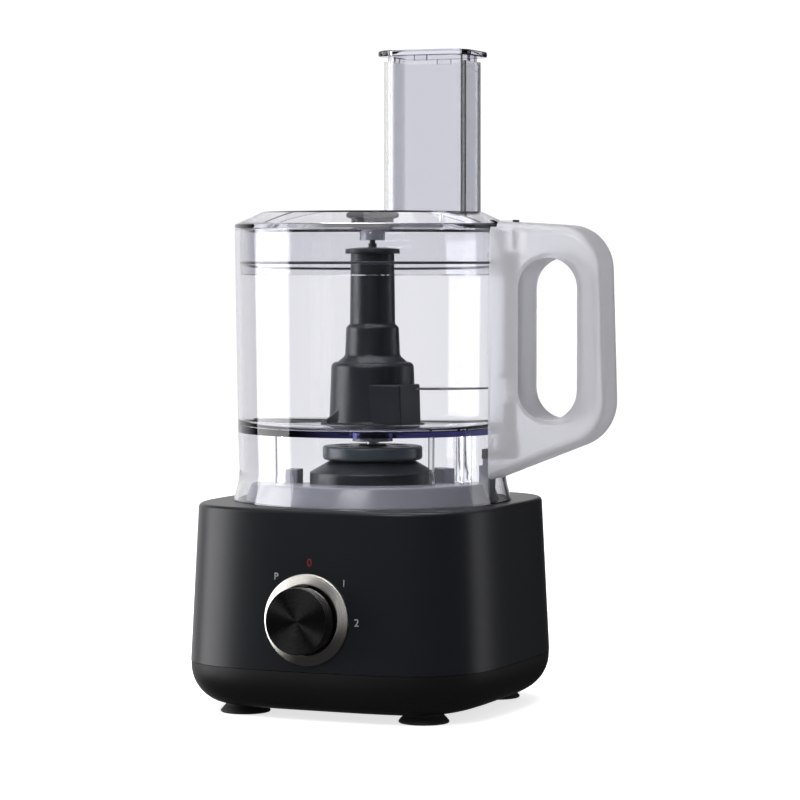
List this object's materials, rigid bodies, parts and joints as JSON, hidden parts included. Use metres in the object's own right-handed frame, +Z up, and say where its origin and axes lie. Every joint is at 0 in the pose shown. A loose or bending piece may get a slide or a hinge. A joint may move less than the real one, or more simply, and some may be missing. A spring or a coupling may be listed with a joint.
{
  "type": "food processor",
  "caption": "Food processor with a motor base, rotary dial, clear bowl with a hollow handle, chopping tool, and lid with feed chute and pusher.",
  "frame": {"origin": "the drive axis where it meets the plane that the feet stand on", "axes": "+Z up along the drive axis, -Y towards the dial on the front, +X towards the bowl's handle"},
  "size_m": [0.2538, 0.2139, 0.4005],
  "materials": {
    "housing_plastic": "satin, fine grain",
    "black_plastic": "matte",
    "rubber": "matte",
    "steel": "plain",
    "seat_plastic": "satin",
    "dark_plastic": "satin",
    "satin_nickel": "satin, circular brushing",
    "spun_black": "spun, dark anodised",
    "clear_plastic": "clear, polished",
    "milky_plastic": "translucent",
    "copper": "enamelled wire",
    "brass": "plain",
    "lamination": "bare laminations",
    "carbon": "matte",
    "board": "solder resist",
    "aluminium": "cast"
  },
  "bodies": {
    "base": {"base_shell": "housing_plastic", "lower_shell": "black_plastic", "base_feet": "rubber", "base_screws": "steel", "bowl_seat": "seat_plastic", "spindle_tower": "dark_plastic", "spindle_seal": "rubber", "knob_bezel": "satin_nickel", "rotary_switch": "black_plastic", "motor_frame": "aluminium", "spindle_bearings": "steel", "motor_lower_bracket": "aluminium", "motor_upper_bracket": "aluminium", "motor_bearings": "steel", "motor_bolts": "steel", "stator_core": "lamination", "field_coils": "copper", "brush_holders": "brass", "carbon_brushes": "carbon", "drive_belt": "rubber", "interlock_switch": "black_plastic", "plunger_spring": "steel", "control_board": "board", "cord_gland": "black_plastic"},
    "dial": {"knob": "black_plastic", "knob_cap": "spun_black", "knob_pointer": "black_plastic", "switch_shaft": "black_plastic"},
    "armature": {"motor_shaft": "steel", "armature_core": "lamination", "armature_windings": "copper", "commutator": "copper", "cooling_fan": "black_plastic", "motor_pulley": "steel"},
    "drive": {"drive_pulley": "black_plastic", "drive_spindle": "steel", "drive_coupling": "dark_plastic"},
    "interlock_plunger": {"interlock_plunger": "seat_plastic"},
    "bowl_bush": {"bowl_bush": "seat_plastic"},
    "bowl": {"bowl": "clear_plastic", "handle": "milky_plastic", "handle_cover": "milky_plastic", "rod_spring": "steel"},
    "interlock_rod": {"interlock_rod": "dark_plastic"},
    "tool": {"tool_hub": "dark_plastic", "upper_blade": "steel", "lower_blade": "steel", "tool_pin": "dark_plastic"},
    "lid_seal": {"lid_seal": "rubber"},
    "lid": {"lid": "clear_plastic", "feed_chute": "clear_plastic", "lid_bearing": "dark_plastic"},
    "pusher": {"pusher": "clear_plastic"}
  },
  "joints": [
    {"name": "knob_turn", "type": "hinge", "parent": "base", "child": "dial", "pos_m": [0, -0.09705, 0.0623], "axis": [0, -0.9989, 0.0471], "range_deg": [-90, 45]},
    {"name": "motor_spin", "type": "hinge", "parent": "base", "child": "armature", "pos_m": [0, 0.06, 0.08], "axis": [0, 0, 1], "continuous": true},
    {"name": "spindle_spin", "type": "hinge", "parent": "base", "child": "drive", "pos_m": [0, 0, 0.1], "axis": [0, 0, 1], "continuous": true},
    {"name": "plunger_slide", "type": "slide", "parent": "base", "child": "interlock_plunger", "axis": [0, 0, 1], "range_m": [0, 0.0042], "deforming": ["plunger_spring"]},
    {"name": "bowl_lift", "type": "slide", "parent": "base", "child": "bowl_bush", "axis": [0, 0, 1], "range_m": [0, 0.1]},
    {"name": "bowl_twist", "type": "hinge", "parent": "bowl_bush", "child": "bowl", "pos_m": [0, 0, 0.19], "axis": [0, 0, 1], "range_deg": [-25, 0]},
    {"name": "rod_slide", "type": "slide", "parent": "bowl", "child": "interlock_rod", "axis": [0, 0, 1], "range_m": [0, 0.0052], "deforming": ["rod_spring"]},
    {"name": "blade_spin", "type": "hinge", "parent": "bowl_bush", "child": "tool", "pos_m": [0, 0, 0.22], "axis": [0, 0, 1], "continuous": true},
    {"name": "lid_lift", "type": "slide", "parent": "bowl", "child": "lid_seal", "axis": [0, 0, 1], "range_m": [0, 0.08]},
    {"name": "lid_twist", "type": "hinge", "parent": "lid_seal", "child": "lid", "pos_m": [0, 0, 0.2725], "axis": [0, 0, 1], "range_deg": [0, 30]},
    {"name": "pusher_slide", "type": "slide", "parent": "lid", "child": "pusher", "axis": [0, 0, 1], "range_m": [0, 0.09]}
  ],
  "couplings": [
    {"joint": "spindle_spin", "follows": "motor_spin", "ratio": 0.2},
    {"joint": "blade_spin", "follows": "motor_spin", "ratio": 0.2},
    {"joint": "rod_slide", "follows": "lid_twist", "m_per_rad": 0.00954},
    {"joint": "plunger_slide", "follows": "lid_twist", "m_per_rad": 0.00763}
  ]
}
